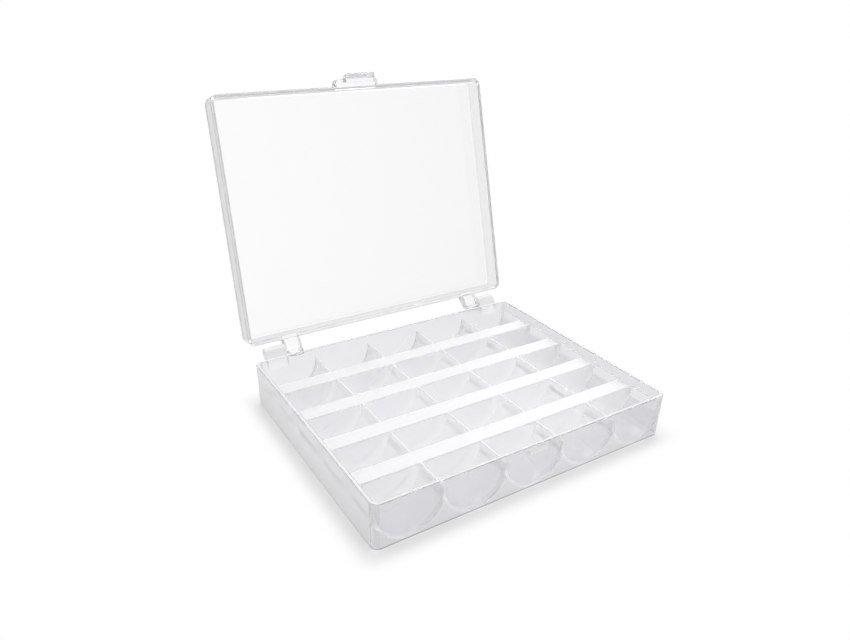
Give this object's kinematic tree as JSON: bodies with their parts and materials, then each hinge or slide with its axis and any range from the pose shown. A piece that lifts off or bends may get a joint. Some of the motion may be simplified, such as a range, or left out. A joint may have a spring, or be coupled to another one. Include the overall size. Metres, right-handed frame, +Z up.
{
  "type": "bobbin box",
  "caption": "Clear hinged box for sewing-machine bobbins: a skirted tray of round-bottomed pockets between flat ribs, and a shallow lid on pin hinges with a front snap latch.",
  "frame": {"origin": "the middle of the base's underside, on the table", "axes": "+X along the hinge to the right, +Y from the latch to the hinge, +Z up"},
  "size_m": [0.121, 0.1339, 0.1189],
  "materials": {
    "base_clear": "clear polished styrene",
    "lid_clear": "clear polished styrene"
  },
  "bodies": {
    "base": {"base_skirt": "base_clear", "pocket_r1_c1": "base_clear", "pocket_r1_c2": "base_clear", "pocket_r1_c3": "base_clear", "pocket_r1_c4": "base_clear", "pocket_r1_c5": "base_clear", "pocket_r2_c1": "base_clear", "pocket_r2_c2": "base_clear", "pocket_r2_c3": "base_clear", "pocket_r2_c4": "base_clear", "pocket_r2_c5": "base_clear", "pocket_r3_c1": "base_clear", "pocket_r3_c2": "base_clear", "pocket_r3_c3": "base_clear", "pocket_r3_c4": "base_clear", "pocket_r3_c5": "base_clear", "pocket_r4_c1": "base_clear", "pocket_r4_c2": "base_clear", "pocket_r4_c3": "base_clear", "pocket_r4_c4": "base_clear", "pocket_r4_c5": "base_clear", "pocket_r5_c1": "base_clear", "pocket_r5_c2": "base_clear", "pocket_r5_c3": "base_clear", "pocket_r5_c4": "base_clear", "pocket_r5_c5": "base_clear", "row_rib_1": "base_clear", "row_rib_2": "base_clear", "row_rib_3": "base_clear", "row_rib_4": "base_clear", "hinge_knuckle_left": "base_clear", "hinge_knuckle_right": "base_clear", "latch_catch": "base_clear"},
    "lid": {"lid_skirt": "lid_clear", "lid_panel": "lid_clear", "latch_pad": "lid_clear", "latch_tab": "lid_clear", "hinge_arm_left": "lid_clear", "hinge_arm_right": "lid_clear", "hinge_pin_left": "lid_clear", "hinge_pin_right": "lid_clear"}
  },
  "joints": [
    {"name": "lid_hinge", "type": "hinge", "parent": "base", "child": "lid", "pos_m": [0, 0.05155, 0.0176], "axis": [1, 0, 0], "range_deg": [0, 105]}
  ]
}
